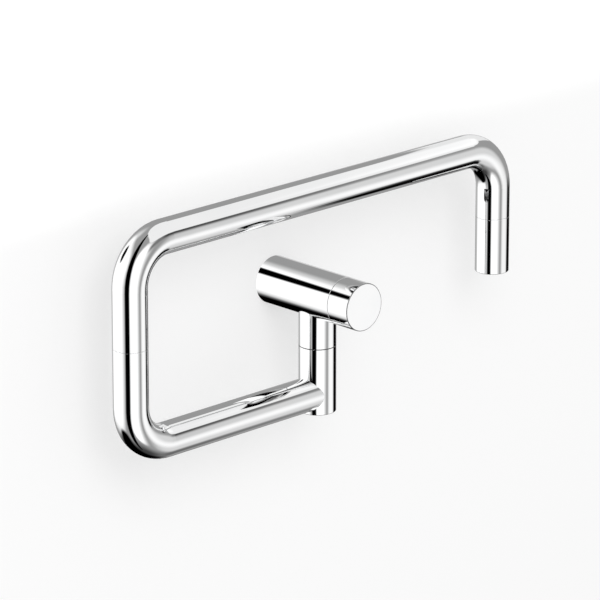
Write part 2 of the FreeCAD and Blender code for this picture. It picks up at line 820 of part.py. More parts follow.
def outlet_glide_washer():
    """Plastic washer between the stem's shoulder and the sleeve, pierced by the stop pin."""
    washer = ring(tube_bore - slip_clearance, stem_radius, -stem_shoulder, stem_shoulder)
    return washer.cut(outlet_stop_pin())


def outlet_disc_gasket():
    return ring(fixed_disc_radius, stem_bore_radius, -outlet_disc_top, -outlet_disc_top + outlet_disc_seal)


def outlet_fixed_disc():
    low, high = -(outlet_disc_top + disc_thickness), -outlet_disc_top
    return rod(fixed_disc_radius, low, high).cut(disc_windows(stem_bore_radius, low, high, 0))


def outlet_disc_keys(width, low, high):
    """Two ribs of the sleeve that fit the moving disc's notches."""
    far = sleeve_bore + cut_margin
    bar = Part.makeBox(width, 2 * far, high - low, Vector(-width / 2, -far, low))
    return bar.common(ring(sleeve_bore + outlet_key_root, stem_radius - outlet_key_depth, low, high))


def outlet_moving_disc():
    windows = disc_windows(stem_bore_radius, moving_disc_low, moving_disc_top, 90)
    notches = outlet_disc_keys(outlet_key_width + 2 * slip_clearance, moving_disc_low, moving_disc_top)
    return rod(stem_radius - room, moving_disc_low, moving_disc_top).cut(windows).cut(notches)


def outlet_sleeve():
    """Twist sleeve: top recess, stop slot, journal bore, web under the moving disc, aerator bore."""
    high = -half_seam
    washer_floor = -stem_shoulder - face_clearance
    web_low = moving_disc_low - outlet_web
    ledge_bore = aerator_bore - aerator_ledge
    rim_bore = tube_bore + outlet_rim_room
    sleeve = turned([
        (rim_bore, high), (tube_radius - seam_chamfer, high), (tube_radius, high - seam_chamfer),
        (tube_radius, sleeve_end + edge_chamfer), (tube_radius - edge_chamfer, sleeve_end),
        (aerator_bore, sleeve_end), (aerator_bore, aerator_top), (ledge_bore, aerator_top),
        (ledge_bore, web_low), (stem_radius - outlet_web_rim, web_low),
        (stem_radius - outlet_web_rim, moving_disc_low), (sleeve_bore, moving_disc_low),
        (sleeve_bore, washer_floor), (rim_bore, washer_floor),
    ])
    slot_width = quarter_turn + 2 * math.degrees(stop_pin_radius / stop_pin_offset) + 2 * stop_slack
    slot = sector(stem_radius, stop_pin_offset + stop_pin_radius + 2 * slip_clearance,
                  -stop_slot_depth, washer_floor, -90 + quarter_turn / 2, slot_width)
    keys = outlet_disc_keys(outlet_key_width, moving_disc_low, moving_disc_low + outlet_key_height)
    sleeve = sleeve.cut(slot).cut(snap_ring_room(stem_radius, outlet_snap_low))
    return sleeve.fuse(keys).removeSplitter()


def aerator_washer():
    return ring(aerator_bore, aerator_bore - aerator_ledge - aerator_washer_lip,
                aerator_top - aerator_washer_thickness, aerator_top)


def aerator_ring():
    """Threaded ring with key notches that holds the insert."""
    low, high = sleeve_end + aerator_recess, aerator_top - aerator_washer_thickness
    body = ring(aerator_bore, aerator_bore - aerator_ring_wall, low, high)
    notch_start = Vector(aerator_bore - 1.5 * aerator_ring_wall, -aerator_notch_width / 2, low)
    for i in range(aerator_notches):
        notch = Part.makeBox(2 * aerator_ring_wall, aerator_notch_width, aerator_notch_depth,
                             notch_start)
        notch.rotate(ORIGIN, Z_AXIS, (i + 0.5) * 360 / aerator_notches)
        body = body.cut(notch)
    return body


def aerator_insert():
    """Flow straightener: a perforated plastic puck."""
    low = sleeve_end + aerator_recess + aerator_insert_recess
    high = aerator_top - aerator_washer_thickness
    radius = aerator_bore - aerator_ring_wall
    holes = hole_grid(radius - aerator_hole_margin, aerator_hole_pitch, aerator_hole_radius, low, high)
    return rod(radius, low, high).cut(holes)


# ---------------------------------------------------------------- assembly

assembly = {
    on_body: [
        inlet_nipple, inlet_strainer, wall_gasket, body_grub_screw, valve_body,
        headwork_body, headwork_gasket, headwork_seat_washer, headwork_fixed_disc,
        headwork_moving_disc, spindle, stop_washer, spindle_circlip,
        knob, knob_carrier, knob_grub_screw, knob_guide_ring,
    ],
    on_post: [
        post_upper, swivel_spigot, swivel_upper_washer, swivel_lower_washer, swivel_circlip,
        post_lower, post_end_cap,
    ],
    on_elbow: [elbow_spigot, elbow_washer, elbow_snap_ring, elbow_socket],
    in_place: [lower_arm_tube, upper_arm_tube],
    on_outlet: [
        outlet_stem, outlet_stop_pin, outlet_snap_ring, outlet_glide_washer,
        outlet_disc_gasket, outlet_fixed_disc, outlet_moving_disc, outlet_sleeve,
        aerator_washer, aerator_ring, aerator_insert,
    ],
}

o_rings = {
    "nipple_o_ring": (on_body, nipple_spigot_radius, nipple_ring_radius, nipple_ring_heights),
    "spindle_o_ring": (on_body, spindle_radius, spindle_ring_radius, spindle_ring_heights),
    "swivel_o_ring": (on_post, journal_radius, swivel_ring_radius, swivel_ring_heights),
    "elbow_o_ring": (on_elbow, journal_radius, swivel_ring_radius, elbow_ring_heights),
    "outlet_o_ring": (on_outlet, stem_radius, outlet_ring_radius, outlet_ring_heights),
}

os.makedirs("parts", exist_ok=True)
for place, makers in assembly.items():
    for make in makers:
        place(make()).exportStep(f"parts/{make.__name__}.step")
for name, (place, outer, section, heights) in o_rings.items():
    for number, height in enumerate(heights, 1):
        place(o_ring(outer, section, height)).exportStep(f"parts/{name}_{number}.step")
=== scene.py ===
import math

import bmesh
import bpy
from mathutils import Matrix, Vector


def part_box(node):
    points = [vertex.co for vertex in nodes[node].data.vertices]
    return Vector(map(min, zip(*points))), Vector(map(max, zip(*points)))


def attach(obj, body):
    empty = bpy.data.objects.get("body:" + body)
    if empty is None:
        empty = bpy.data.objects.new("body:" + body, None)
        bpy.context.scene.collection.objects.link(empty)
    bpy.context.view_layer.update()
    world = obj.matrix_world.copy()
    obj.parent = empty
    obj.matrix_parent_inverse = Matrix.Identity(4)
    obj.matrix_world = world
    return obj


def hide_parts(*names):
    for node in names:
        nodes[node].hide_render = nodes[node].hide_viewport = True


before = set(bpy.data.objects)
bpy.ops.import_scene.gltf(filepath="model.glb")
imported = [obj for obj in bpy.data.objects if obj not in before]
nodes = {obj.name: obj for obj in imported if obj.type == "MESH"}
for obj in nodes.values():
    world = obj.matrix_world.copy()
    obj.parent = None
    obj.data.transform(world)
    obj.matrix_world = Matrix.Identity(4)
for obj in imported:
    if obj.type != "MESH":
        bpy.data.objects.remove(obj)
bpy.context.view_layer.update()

print("frame loaded:", len(nodes), "nodes")


# camera: long lens, level horizon, from the left of the faucet and a little above it

camera = {
    "azimuth": 44.216,                      # degrees to the left of straight on
    "elevation": 17.903,
    "distance": 3.414,
    "target": (-0.01737, -0.045, -0.00149),
    "lens": 288.7,
    "sensor": 36.0,
    "clip": (0.05, 50.0),
}


def makeCamera(settings):
    azimuth = math.radians(settings["azimuth"])
    elevation = math.radians(settings["elevation"])
    back = Vector((-math.sin(azimuth) * math.cos(elevation),
                   -math.cos(azimuth) * math.cos(elevation),
                   math.sin(elevation)))
    data = bpy.data.cameras.new("camera")
    data.lens = settings["lens"]
    data.sensor_width = settings["sensor"]
    data.clip_start, data.clip_end = settings["clip"]
    view = bpy.data.objects.new("camera", data)
    view.location = Vector(settings["target"]) + back * settings["distance"]
    view.rotation_mode = "QUATERNION"
    view.rotation_quaternion = (-back).to_track_quat("-Z", "Y")
    bpy.context.scene.collection.objects.link(view)
    bpy.context.scene.camera = view


makeCamera(camera)
print("camera set")


# small helpers for node trees

def newMaterial(name):
    material = bpy.data.materials.new(name)
    material.use_nodes = True
    tree = material.node_tree
    tree.nodes.clear()
    return material, tree


def addNode(tree, kind, inputs=None, **settings):
    node = tree.nodes.new(kind)
    for key, value in settings.items():
        setattr(node, key, value)
    for key, value in (inputs or {}).items():
        if isinstance(value, bpy.types.NodeSocket):
            tree.links.new(value, node.inputs[key])
        else:
            node.inputs[key].default_value = value
    return node


# studio: softboxes and black flags around the faucet, seen only in its reflections

studio = {
    "centre": (0.0, -0.045, 0.0),
    "radius": 1.5,
    "subdivisions": 6,
    "surround": 0.32,                       # grey of the room between the cards
    "sideOn": 0.02,                         # least cosine at which a direction meets a card
}

# facing: azimuth from +X and elevation of a card's plane, degrees
# at, half: middle and half size across it, as slopes; turn: degrees
# corner: rounding; soft: blur of the rim, at most twice the rounding
studioCards = {
    "backFade": dict(facing=(100, 38), at=(0.0, 0.0), half=(0.2, 0.45), turn=0,
                     corner=0.2, soft=0.4, level=0.68),
    "backBox": dict(facing=(145, 0), at=(-0.25, 0.205), half=(1.15, 1.105), turn=-11,
                    corner=0.6, soft=0.8, level=1.1),
    "sideGlow": dict(facing=(41, -4), at=(0.0, 0.0), half=(0.12, 0.2), turn=0,
                     corner=0.12, soft=0.2, level=0.68),
    "backGlow": dict(facing=(78, -8), at=(0.0, 0.0), half=(0.25, 0.25), turn=0,
                     corner=0.2, soft=0.3, level=0.5),
    "frontBox": dict(facing=(-90, 0), at=(-0.55, -0.3), half=(0.62, 1.4), turn=0,
                     corner=0.55, soft=0.5, level=1.1),
    "frontGlow": dict(facing=(-40, -18), at=(0.0, 0.0), half=(0.36, 0.75), turn=0,
                      corner=0.34, soft=0.4, level=0.68),
    "frontPanel": dict(facing=(-44, -22), at=(0.0, 0.0), half=(0.3, 0.2), turn=0,
                       corner=0.2, soft=0.4, level=1.0),
    "underDark": dict(facing=(0, -90), at=(0.0, 0.0), half=(0.42, 0.42), turn=0,
                      corner=0.42, soft=0.6, level=0.05),
    "underGrey": dict(facing=(-4, -60), at=(0.0, 0.0), half=(0.2, 0.14), turn=0,
                      corner=0.14, soft=0.2, level=0.14),
    "floorDark": dict(facing=(0, -90), at=(-0.19, 0.5), half=(0.77, 0.42), turn=5,
                      corner=0.4, soft=0.25, level=0.0),
    "rearDark": dict(facing=(90, 0), at=(-0.27, -1.14), half=(0.74, 0.4), turn=-26,
                     corner=0.2, soft=0.3, level=0.0),
    "smear": dict(facing=(-66, 26), at=(0.0, 0.0), half=(0.4, 0.13), turn=0,
                  corner=0.13, soft=0.22, level=0.18),
    "smearCore": dict(facing=(-56, 25.5), at=(0.0, 0.0), half=(0.14, 0.08), turn=0,
                      corner=0.08, soft=0.16, level=0.05),
    "sidePanel": dict(facing=(0, 0), at=(0.37, 0.63), half=(0.55, 0.3), turn=-45,
                      corner=0.05, soft=0.04, level=0.82),
    "topBox": dict(facing=(0, 90), at=(0.7, -0.48), half=(0.85, 0.93), turn=0,
                   corner=0.7, soft=0.05, level=0.87),
    "topBright": dict(facing=(0, 90), at=(1.2, -0.2), half=(0.22, 0.5), turn=0,
                      corner=0.2, soft=0.4, level=1.05),
    "disc": dict(facing=(122, 28), at=(0.0, 0.0), half=(0.19, 0.19), turn=0,
                 corner=0.19, soft=0.08, level=0.0),
    "flag": dict(facing=(180, 0), at=(0.52, 0.0), half=(0.28, 9.0), turn=0,
                 corner=0.1, soft=0.12, level=0.0),
    "greyColumn": dict(facing=(0, 0), at=(0.2, -0.52), half=(0.2, 0.33), turn=0,
                       corner=0.1, soft=0.1, level=0.03),
    "lineDark": dict(facing=(-22, -35), at=(0.0, 0.0), half=(0.1, 0.1), turn=0,
                     corner=0.1, soft=0.12, level=0.05),
    "rightColumn": dict(facing=(0, 0), at=(-0.13, -0.62), half=(0.25, 0.42), turn=-5,
                        corner=0.1, soft=0.1, level=0.002),
}


def cardGroup():
    group = bpy.data.node_groups.new("studioCard", "ShaderNodeTree")
    for name, kind in (("below", "NodeSocketFloat"), ("direction", "NodeSocketVector"),
                       ("forward", "NodeSocketVector"), ("right", "NodeSocketVector"),
                       ("up", "NodeSocketVector"), ("at", "NodeSocketVector"),
                       ("turn", "NodeSocketVector"), ("flat", "NodeSocketVector"),
                       ("corner", "NodeSocketFloat"), ("soft", "NodeSocketFloat"),
                       ("level", "NodeSocketFloat")):
        group.interface.new_socket(name=name, in_out="INPUT", socket_type=kind)
    group.interface.new_socket(name="value", in_out="OUTPUT", socket_type="NodeSocketFloat")
    given = group.nodes.new("NodeGroupInput").outputs

    def dot(axis):
        return addNode(group, "ShaderNodeVectorMath", {0: given["direction"], 1: given[axis]},
                       operation="DOT_PRODUCT").outputs["Value"]

    def combine(operation, first, second):
        return addNode(group, "ShaderNodeMath", {0: first, 1: second}, operation=operation).outputs[0]

    ahead = dot("forward")
    depth = combine("MAXIMUM", ahead, studio["sideOn"])
    plane = addNode(group, "ShaderNodeCombineXYZ", {
        "X": combine("DIVIDE", dot("right"), depth), "Y": combine("DIVIDE", dot("up"), depth)})
    across = addNode(group, "ShaderNodeMapping", {
        "Vector": plane.outputs[0], "Location": given["at"], "Rotation": given["turn"]},
        vector_type="TEXTURE")
    folded = addNode(group, "ShaderNodeVectorMath", {0: across.outputs[0]}, operation="ABSOLUTE")
    past = addNode(group, "ShaderNodeVectorMath", {0: folded.outputs[0], 1: given["flat"]},
                   operation="SUBTRACT")
    outside = addNode(group, "ShaderNodeVectorMath", {0: past.outputs[0], 1: (0.0, 0.0, 0.0)},
                      operation="MAXIMUM")
    reach = addNode(group, "ShaderNodeVectorMath", {0: outside.outputs[0]}, operation="LENGTH")
    rim = combine("SUBTRACT", reach.outputs["Value"], given["corner"])
    share = combine("DIVIDE", rim, given["soft"])
    inside = addNode(group, "ShaderNodeMapRange", {
        "Value": share, "From Min": -0.5, "From Max": 0.5, "To Min": 1.0, "To Max": 0.0},
        interpolation_type="SMOOTHSTEP")
    seen = combine("GREATER_THAN", ahead, studio["sideOn"])
    mask = combine("MULTIPLY", inside.outputs[0], seen)
    mixed = addNode(group, "ShaderNodeMix", {
        "Factor": mask, "A": given["below"], "B": given["level"]}, data_type="FLOAT")
    out = group.nodes.new("NodeGroupOutput")
    group.links.new(mixed.outputs["Result"], out.inputs["value"])
    return group


def makeStudio():
    bm = bmesh.new()
    bmesh.ops.create_icosphere(bm, subdivisions=studio["subdivisions"], radius=studio["radius"],
                               matrix=Matrix.Translation(studio["centre"]))
    mesh = bpy.data.meshes.new("studioDome")
    bm.to_mesh(mesh)
    bm.free()
    dome = bpy.data.objects.new("studioDome", mesh)
    bpy.context.scene.collection.objects.link(dome)
    for ray in ("camera", "diffuse", "transmission", "volume_scatter", "shadow"):
        setattr(dome, "visible_" + ray, False)

    material, tree = newMaterial("studioSurround")
    place = addNode(tree, "ShaderNodeTexCoord")
    fromCentre = addNode(tree, "ShaderNodeVectorMath",
                         {0: place.outputs["Object"], 1: studio["centre"]}, operation="SUBTRACT")
    direction = addNode(tree, "ShaderNodeVectorMath", {0: fromCentre.outputs[0]},
                        operation="NORMALIZE").outputs[0]
    group = cardGroup()
    level = addNode(tree, "ShaderNodeValue").outputs[0]
    level.default_value = studio["surround"]
    for name, card in studioCards.items():
        azimuth, elevation = (math.radians(angle) for angle in card["facing"])
        forward = (math.cos(azimuth) * math.cos(elevation),
                   math.sin(azimuth) * math.cos(elevation), math.sin(elevation))
        right = (-math.sin(azimuth), math.cos(azimuth), 0.0)
        up = (-math.cos(azimuth) * math.sin(elevation),
              -math.sin(azimuth) * math.sin(elevation), math.cos(elevation))
        if abs(card["facing"][1]) == 90:    # cards overhead and on the floor keep +X to the right
            right, up = (1.0, 0.0, 0.0), (0.0, 1.0, 0.0)
        values = {
            "below": level, "direction": direction, "forward": forward, "right": right, "up": up,
            "at": (*card["at"], 0.0), "turn": (0.0, 0.0, math.radians(card["turn"])),
            "flat": (card["half"][0] - card["corner"], card["half"][1] - card["corner"], 1.0),
            "corner": card["corner"], "soft": card["soft"], "level": card["level"],
        }
        node = addNode(tree, "ShaderNodeGroup", values, node_tree=group, label=name, name=name)
        level = node.outputs["value"]
    glow = addNode(tree, "ShaderNodeEmission", {"Strength": level})
    out = addNode(tree, "ShaderNodeOutputMaterial")
    tree.links.new(glow.outputs[0], out.inputs["Surface"])
    mesh.materials.append(material)


makeStudio()


# wall and floor

backdrop = {
    "wallSize": 3.0,
    "wallColor": (0.97, 0.97, 0.97, 1.0),
    "paintedGlowShare": 0.42,                       # share of the wall that is painted glow, lightening the faucet's shadows on it
    "glowLow": 0.97,                        # its level beside the faucet, lower as painted shade
    "paintedLightAbove": 1.2,                        # and above it, higher as painted light from above
    "paintedLightRise": (0.07, 0.105),              # heights between which it changes
    "floorSize": 12.0,
    "floorDrop": 1.0,
    "floorColor": (0.93, 0.93, 0.93, 1.0),
}


# painted light on the wall: an even glow, stronger above the faucet, standing for light from above
def paintedLightGlow(tree, paint):
    place = addNode(tree, "ShaderNodeTexCoord")
    height = addNode(tree, "ShaderNodeSeparateXYZ", {0: place.outputs["Object"]}).outputs["Z"]
    low, high = backdrop["paintedLightRise"]
    level = addNode(tree, "ShaderNodeMapRange", {
        "Value": height, "From Min": low, "From Max": high, "To Min": backdrop["glowLow"],
        "To Max": backdrop["paintedLightAbove"]}, interpolation_type="SMOOTHSTEP").outputs[0]
    glow = addNode(tree, "ShaderNodeEmission", {"Strength": level})
    return addNode(tree, "ShaderNodeMixShader", {0: backdrop["paintedGlowShare"], 1: paint.outputs[0],
                                                 2: glow.outputs[0]})


def makeSheet(name, size, turn, shift, color, glowing=False):
    bm = bmesh.new()
    bmesh.ops.create_grid(bm, x_segments=1, y_segments=1, size=size / 2)
    bmesh.ops.transform(bm, matrix=Matrix.Translation(shift) @ turn, verts=bm.verts)
    mesh = bpy.data.meshes.new(name)
    bm.to_mesh(mesh)
    bm.free()
    sheet = bpy.data.objects.new(name, mesh)
    bpy.context.scene.collection.objects.link(sheet)
    material, tree = newMaterial(name + "Paint")
    side = addNode(tree, "ShaderNodeNewGeometry")
    paint = addNode(tree, "ShaderNodeBsdfDiffuse", {"Color": color})
    if glowing:
        paint = paintedLightGlow(tree, paint)
    clear = addNode(tree, "ShaderNodeBsdfTransparent")
    # seen from the front only, so that it never hides the faucet
    mix = addNode(tree, "ShaderNodeMixShader", {0: side.outputs["Backfacing"],
                                                1: paint.outputs[0], 2: clear.outputs[0]})
    out = addNode(tree, "ShaderNodeOutputMaterial")
    tree.links.new(mix.outputs[0], out.inputs["Surface"])
    mesh.materials.append(material)
    for ray in ("glossy", "diffuse", "shadow"):
        setattr(sheet, "visible_" + ray, False)


makeSheet("wall", backdrop["wallSize"], Matrix.Rotation(math.radians(90), 4, "X"),
          (0.0, 0.0, 0.0), backdrop["wallColor"], glowing=True)
makeSheet("floor", backdrop["floorSize"], Matrix.Identity(4),
          (0.0, 0.0, -backdrop["floorDrop"]), backdrop["floorColor"])


# light: an even surround and one large softbox from above the camera

light = {
    "surround": 0.8,
    "softbox": {"at": (-1.2, -2.4, 1.8), "size": 2.0, "watts": 32.0},
}


def makeLight():
    world = bpy.data.worlds.new("surround")
    bpy.context.scene.world = world
    world.use_nodes = True
    tree = world.node_tree
    tree.nodes.clear()
    ray = addNode(tree, "ShaderNodeLightPath")
    direct = addNode(tree, "ShaderNodeMath", {0: ray.outputs["Is Camera Ray"],
                                              1: ray.outputs["Is Glossy Ray"]}, operation="MAXIMUM")
    shown = addNode(tree, "ShaderNodeMath", {0: direct.outputs[0],
                                             1: ray.outputs["Is Transmission Ray"]}, operation="MAXIMUM")
    strength = addNode(tree, "ShaderNodeMix", {"Factor": shown.outputs[0], "A": light["surround"],
                                               "B": 1.0}, data_type="FLOAT")
    background = addNode(tree, "ShaderNodeBackground", {"Color": (1.0, 1.0, 1.0, 1.0),
                                                        "Strength": strength.outputs["Result"]})
    out = addNode(tree, "ShaderNodeOutputWorld")
    tree.links.new(background.outputs[0], out.inputs["Surface"])

    softbox = light["softbox"]
    data = bpy.data.lights.new("softbox", "AREA")
    data.shape = "SQUARE"
    data.size = softbox["size"]
    data.energy = softbox["watts"]
    lamp = bpy.data.objects.new("softbox", data)
    lamp.location = softbox["at"]
    lamp.rotation_mode = "QUATERNION"
    lamp.rotation_quaternion = (-Vector(softbox["at"])).to_track_quat("-Z", "Y")
    lamp.visible_glossy = False             # the cards give the reflections
    bpy.context.scene.collection.objects.link(lamp)


makeLight()
bpy.context.scene.view_settings.view_transform = "Standard"
print("studio set")


# finishes: each has a dark and a pale tone and patterns, given as scale per metre and octaves

patternRange = (0.3, 0.7)                   # noise values that get the first and last tone


def finishNodes(name, **sockets):
    material, tree = newMaterial(name)
    surface = addNode(tree, "ShaderNodeBsdfPrincipled")
    for key, value in sockets.items():
        surface.inputs[key.replace("_", " ")].default_value = value
    out = addNode(tree, "ShaderNodeOutputMaterial")
    tree.links.new(surface.outputs[0], out.inputs["Surface"])
    place = addNode(tree, "ShaderNodeTexCoord").outputs["Object"]
    return material, tree, surface, place


def noise(tree, place, scale, detail, stretch=(1.0, 1.0, 1.0)):
    mapped = addNode(tree, "ShaderNodeMapping", {"Vector": place, "Scale": stretch})
    return addNode(tree, "ShaderNodeTexNoise", {
        "Vector": mapped.outputs[0], "Scale": scale, "Detail": detail}).outputs["Fac"]


def spread(tree, value, low, high):
    start, end = patternRange
    return addNode(tree, "ShaderNodeMapRange", {
        "Value": value, "From Min": start, "From Max": end, "To Min": low, "To Max": high}).outputs[0]


def tint(tree, value, dark, pale):
    ramp = addNode(tree, "ShaderNodeValToRGB", {"Fac": value})
    first, last = ramp.color_ramp.elements
    first.position, last.position = patternRange
    first.color = (*dark, 1.0)
    last.color = (*pale, 1.0)
    return ramp.outputs["Color"]


def bump(tree, value, distance):
    return addNode(tree, "ShaderNodeBump", {"Height": value, "Distance": distance}).outputs["Normal"]


chrome = {
    "dark": (0.955, 0.96, 0.965),
    "pale": (0.985, 0.985, 0.985),
    "plating": (35.0, 3.0),                 # slow change of tone
    "polish": (900.0, 2.0),                 # fine polishing haze
    "roughness": (0.012, 0.03),
    "ripple": 0.0000006,
}


def makeChrome():
    material, tree, surface, place = finishNodes("polishedChrome", Metallic=1.0)
    tone = noise(tree, place, *chrome["plating"])
    haze = noise(tree, place, *chrome["polish"])
    tree.links.new(tint(tree, tone, chrome["dark"], chrome["pale"]), surface.inputs["Base Color"])
    tree.links.new(spread(tree, haze, *chrome["roughness"]), surface.inputs["Roughness"])
    tree.links.new(bump(tree, tone, chrome["ripple"]), surface.inputs["Normal"])
    return material


satinAndPaintedReflection = {
    # a grey far darker than the chrome: painted reflection that draws a line round each rim's edge
    "dark": (0.27, 0.27, 0.275),
    "pale": (0.40, 0.40, 0.40),
    "polish": (700.0, 3.0),                 # marks of the polishing wheel
    "roughness": (0.2, 0.32),
}


def makeSatinAndPaintedReflection():
    material, tree, surface, place = finishNodes("satinAndPaintedReflection", Metallic=1.0)
    marks = noise(tree, place, *satinAndPaintedReflection["polish"])
    tree.links.new(tint(tree, marks, satinAndPaintedReflection["dark"], satinAndPaintedReflection["pale"]),
                   surface.inputs["Base Color"])
    tree.links.new(spread(tree, marks, *satinAndPaintedReflection["roughness"]), surface.inputs["Roughness"])
    return material


brass = {
    "dark": (0.62, 0.42, 0.17),
    "pale": (0.82, 0.62, 0.30),
    "cut": (5200.0, 1.0),                   # turning marks, close together along the wall's normal
    "cutStretch": (0.02, 1.0, 0.02),
    "cutDepth": 0.00001,
    "stain": (160.0, 4.0),
    "roughness": (0.2, 0.38),
}


def makeBrass():
    material, tree, surface, place = finishNodes("turnedBrass", Metallic=1.0)
    stain = noise(tree, place, *brass["stain"])
    cut = noise(tree, place, *brass["cut"], brass["cutStretch"])
    tree.links.new(tint(tree, stain, brass["dark"], brass["pale"]), surface.inputs["Base Color"])
    tree.links.new(spread(tree, stain, *brass["roughness"]), surface.inputs["Roughness"])
    tree.links.new(bump(tree, cut, brass["cutDepth"]), surface.inputs["Normal"])
    return material


steel = {
    "dark": (0.44, 0.44, 0.45),
    "pale": (0.66, 0.66, 0.65),
    "grain": (3000.0, 2.0),
    "grainStretch": (1.0, 0.05, 1.0),
    "grainDepth": 0.000006,
    "cloud": (300.0, 3.0),
    "roughness": (0.16, 0.3),
}


def makeSteel():
    material, tree, surface, place = finishNodes("stainlessSteel", Metallic=1.0)
    grain = noise(tree, place, *steel["grain"], steel["grainStretch"])
    cloud = noise(tree, place, *steel["cloud"])
    tree.links.new(tint(tree, cloud, steel["dark"], steel["pale"]), surface.inputs["Base Color"])
    tree.links.new(spread(tree, grain, *steel["roughness"]), surface.inputs["Roughness"])
    tree.links.new(bump(tree, grain, steel["grainDepth"]), surface.inputs["Normal"])
    return material


rubber = {
    "dark": (0.012, 0.012, 0.013),
    "pale": (0.032, 0.031, 0.030),
    "bloom": (700.0, 4.0),
    "bloomDepth": 0.00002,
    "roughness": (0.5, 0.7),
}


def makeRubber():
    material, tree, surface, place = finishNodes("blackRubber", Specular_IOR_Level=0.4)
    bloom = noise(tree, place, *rubber["bloom"])
    tree.links.new(tint(tree, bloom, rubber["dark"], rubber["pale"]), surface.inputs["Base Color"])
    tree.links.new(spread(tree, bloom, *rubber["roughness"]), surface.inputs["Roughness"])
    tree.links.new(bump(tree, bloom, rubber["bloomDepth"]), surface.inputs["Normal"])
    return material


ceramic = {
    "dark": (0.80, 0.79, 0.76),
    "pale": (0.90, 0.895, 0.88),
    "cloud": (450.0, 5.0),
    "roughness": (0.06, 0.14),
}


def makeCeramic():
    material, tree, surface, place = finishNodes("aluminaCeramic", IOR=1.76)
    cloud = noise(tree, place, *ceramic["cloud"])
    tree.links.new(tint(tree, cloud, ceramic["dark"], ceramic["pale"]), surface.inputs["Base Color"])
    tree.links.new(spread(tree, cloud, *ceramic["roughness"]), surface.inputs["Roughness"])
    return material


acetal = {
    "dark": (0.30, 0.31, 0.32),
    "pale": (0.38, 0.385, 0.39),
    "flow": (260.0, 3.0),
    "flowStretch": (1.0, 1.0, 0.4),
    "flowDepth": 0.00001,
    "roughness": (0.34, 0.5),
}


def makeAcetal():
    material, tree, surface, place = finishNodes("greyAcetal", IOR=1.48)
    flow = noise(tree, place, *acetal["flow"], acetal["flowStretch"])
    tree.links.new(tint(tree, flow, acetal["dark"], acetal["pale"]), surface.inputs["Base Color"])
    tree.links.new(spread(tree, flow, *acetal["roughness"]), surface.inputs["Roughness"])
    tree.links.new(bump(tree, flow, acetal["flowDepth"]), surface.inputs["Normal"])
    return material


aeratorPlastic = {
    "dark": (0.60, 0.61, 0.61),
    "pale": (0.72, 0.72, 0.71),
    "flow": (500.0, 3.0),
    "roughness": (0.25, 0.42),
}


def makeAeratorPlastic():
    material, tree, surface, place = finishNodes("aeratorPlastic", IOR=1.5, Subsurface_Weight=0.15,
                                                 Subsurface_Scale=0.0008)
    flow = noise(tree, place, *aeratorPlastic["flow"])
    tree.links.new(tint(tree, flow, aeratorPlastic["dark"], aeratorPlastic["pale"]),
                   surface.inputs["Base Color"])
    tree.links.new(spread(tree, flow, *aeratorPlastic["roughness"]), surface.inputs["Roughness"])
    return material


finishes = {
    "polished_chrome": makeChrome(),
    "plain_brass": makeBrass(),
    "stainless_steel": makeSteel(),
    "black_rubber": makeRubber(),
    "white_ceramic": makeCeramic(),
    "grey_acetal": makeAcetal(),
    "aerator_plastic": makeAeratorPlastic(),
}

for node in nodes.values():
    for materialSlot in node.material_slots:
        materialSlot.material = finishes[materialSlot.material.name.split(".")[0]]
print("finishes set")


# new pieces: each is built where it belongs, rides on its body and takes a finish

mergeReach = 0.000001                       # corners nearer than this become one


def addPiece(bm, name, slotName, body, smoothBelow=40.0, finish=None):
    bmesh.ops.remove_doubles(bm, verts=bm.verts, dist=mergeReach)
    bmesh.ops.recalc_face_normals(bm, faces=bm.faces)
    mesh = bpy.data.meshes.new(name)
    bm.to_mesh(mesh)
    bm.free()
    mesh.shade_smooth()
    mesh.set_sharp_from_angle(angle=math.radians(smoothBelow))
    mesh.materials.append(finish or finishes[slotName])
    piece = bpy.data.objects.new(name, mesh)
    bpy.context.scene.collection.objects.link(piece)
    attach(piece, body)
    return piece


def addOutline(bm, corners, closed=False):
    verts = [bm.verts.new(corner) for corner in corners]
    edges = [bm.edges.new(pair) for pair in zip(verts, verts[1:])]
    if closed:
        edges.append(bm.edges.new((verts[-1], verts[0])))
    return verts + edges


# rounded rims where a turned piece ends, left satin by the polishing wheel and painted dark grey as the
# edge's reflection line

rims = {
    "round": 0.0005,
    "sectionSides": 20,
    "steps": 180,
    "knobRim": dict(node="knob", along=1, body="knob", proud=0.00003),
    "postRim": dict(node="post_lower", along=2, body="lower_arm", proud=0.0),
    "outletRim": dict(node="outlet_sleeve", along=2, body="outlet", proud=0.0),
}


def makeRim(name, finish, node, along, body, proud):
    low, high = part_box(node)
    middle = [(first + last) / 2 for first, last in zip(low, high)]
    centre = Vector(middle)
    centre[along] = low[along] + rims["round"] - proud
    axis = Vector((0, 0, 0))
    axis[along] = 1
    reach = (high[0] - low[0]) / 2 - rims["round"]

    bm = bmesh.new()
    section = bmesh.ops.create_circle(bm, segments=rims["sectionSides"], radius=rims["round"])
    if along == 2:
        bmesh.ops.rotate(bm, verts=section["verts"], matrix=Matrix.Rotation(math.pi / 2, 3, "X"))
    bmesh.ops.translate(bm, verts=section["verts"], vec=centre + Vector((reach, 0, 0)))
    bmesh.ops.spin(bm, geom=bm.verts[:] + bm.edges[:], cent=centre, axis=axis,
                   angle=math.tau, steps=rims["steps"], use_merge=True)
    addPiece(bm, name, "polished_chrome", body, finish=finish)


rimSatinAndPaintedReflection = makeSatinAndPaintedReflection()
for rimName in ("knobRim", "postRim", "outletRim"):
    makeRim(rimName, rimSatinAndPaintedReflection, **rims[rimName])
print("rims made")


# thin rings in the seams where one tube turns on another; the black one in the post paints the shade in
# its gap

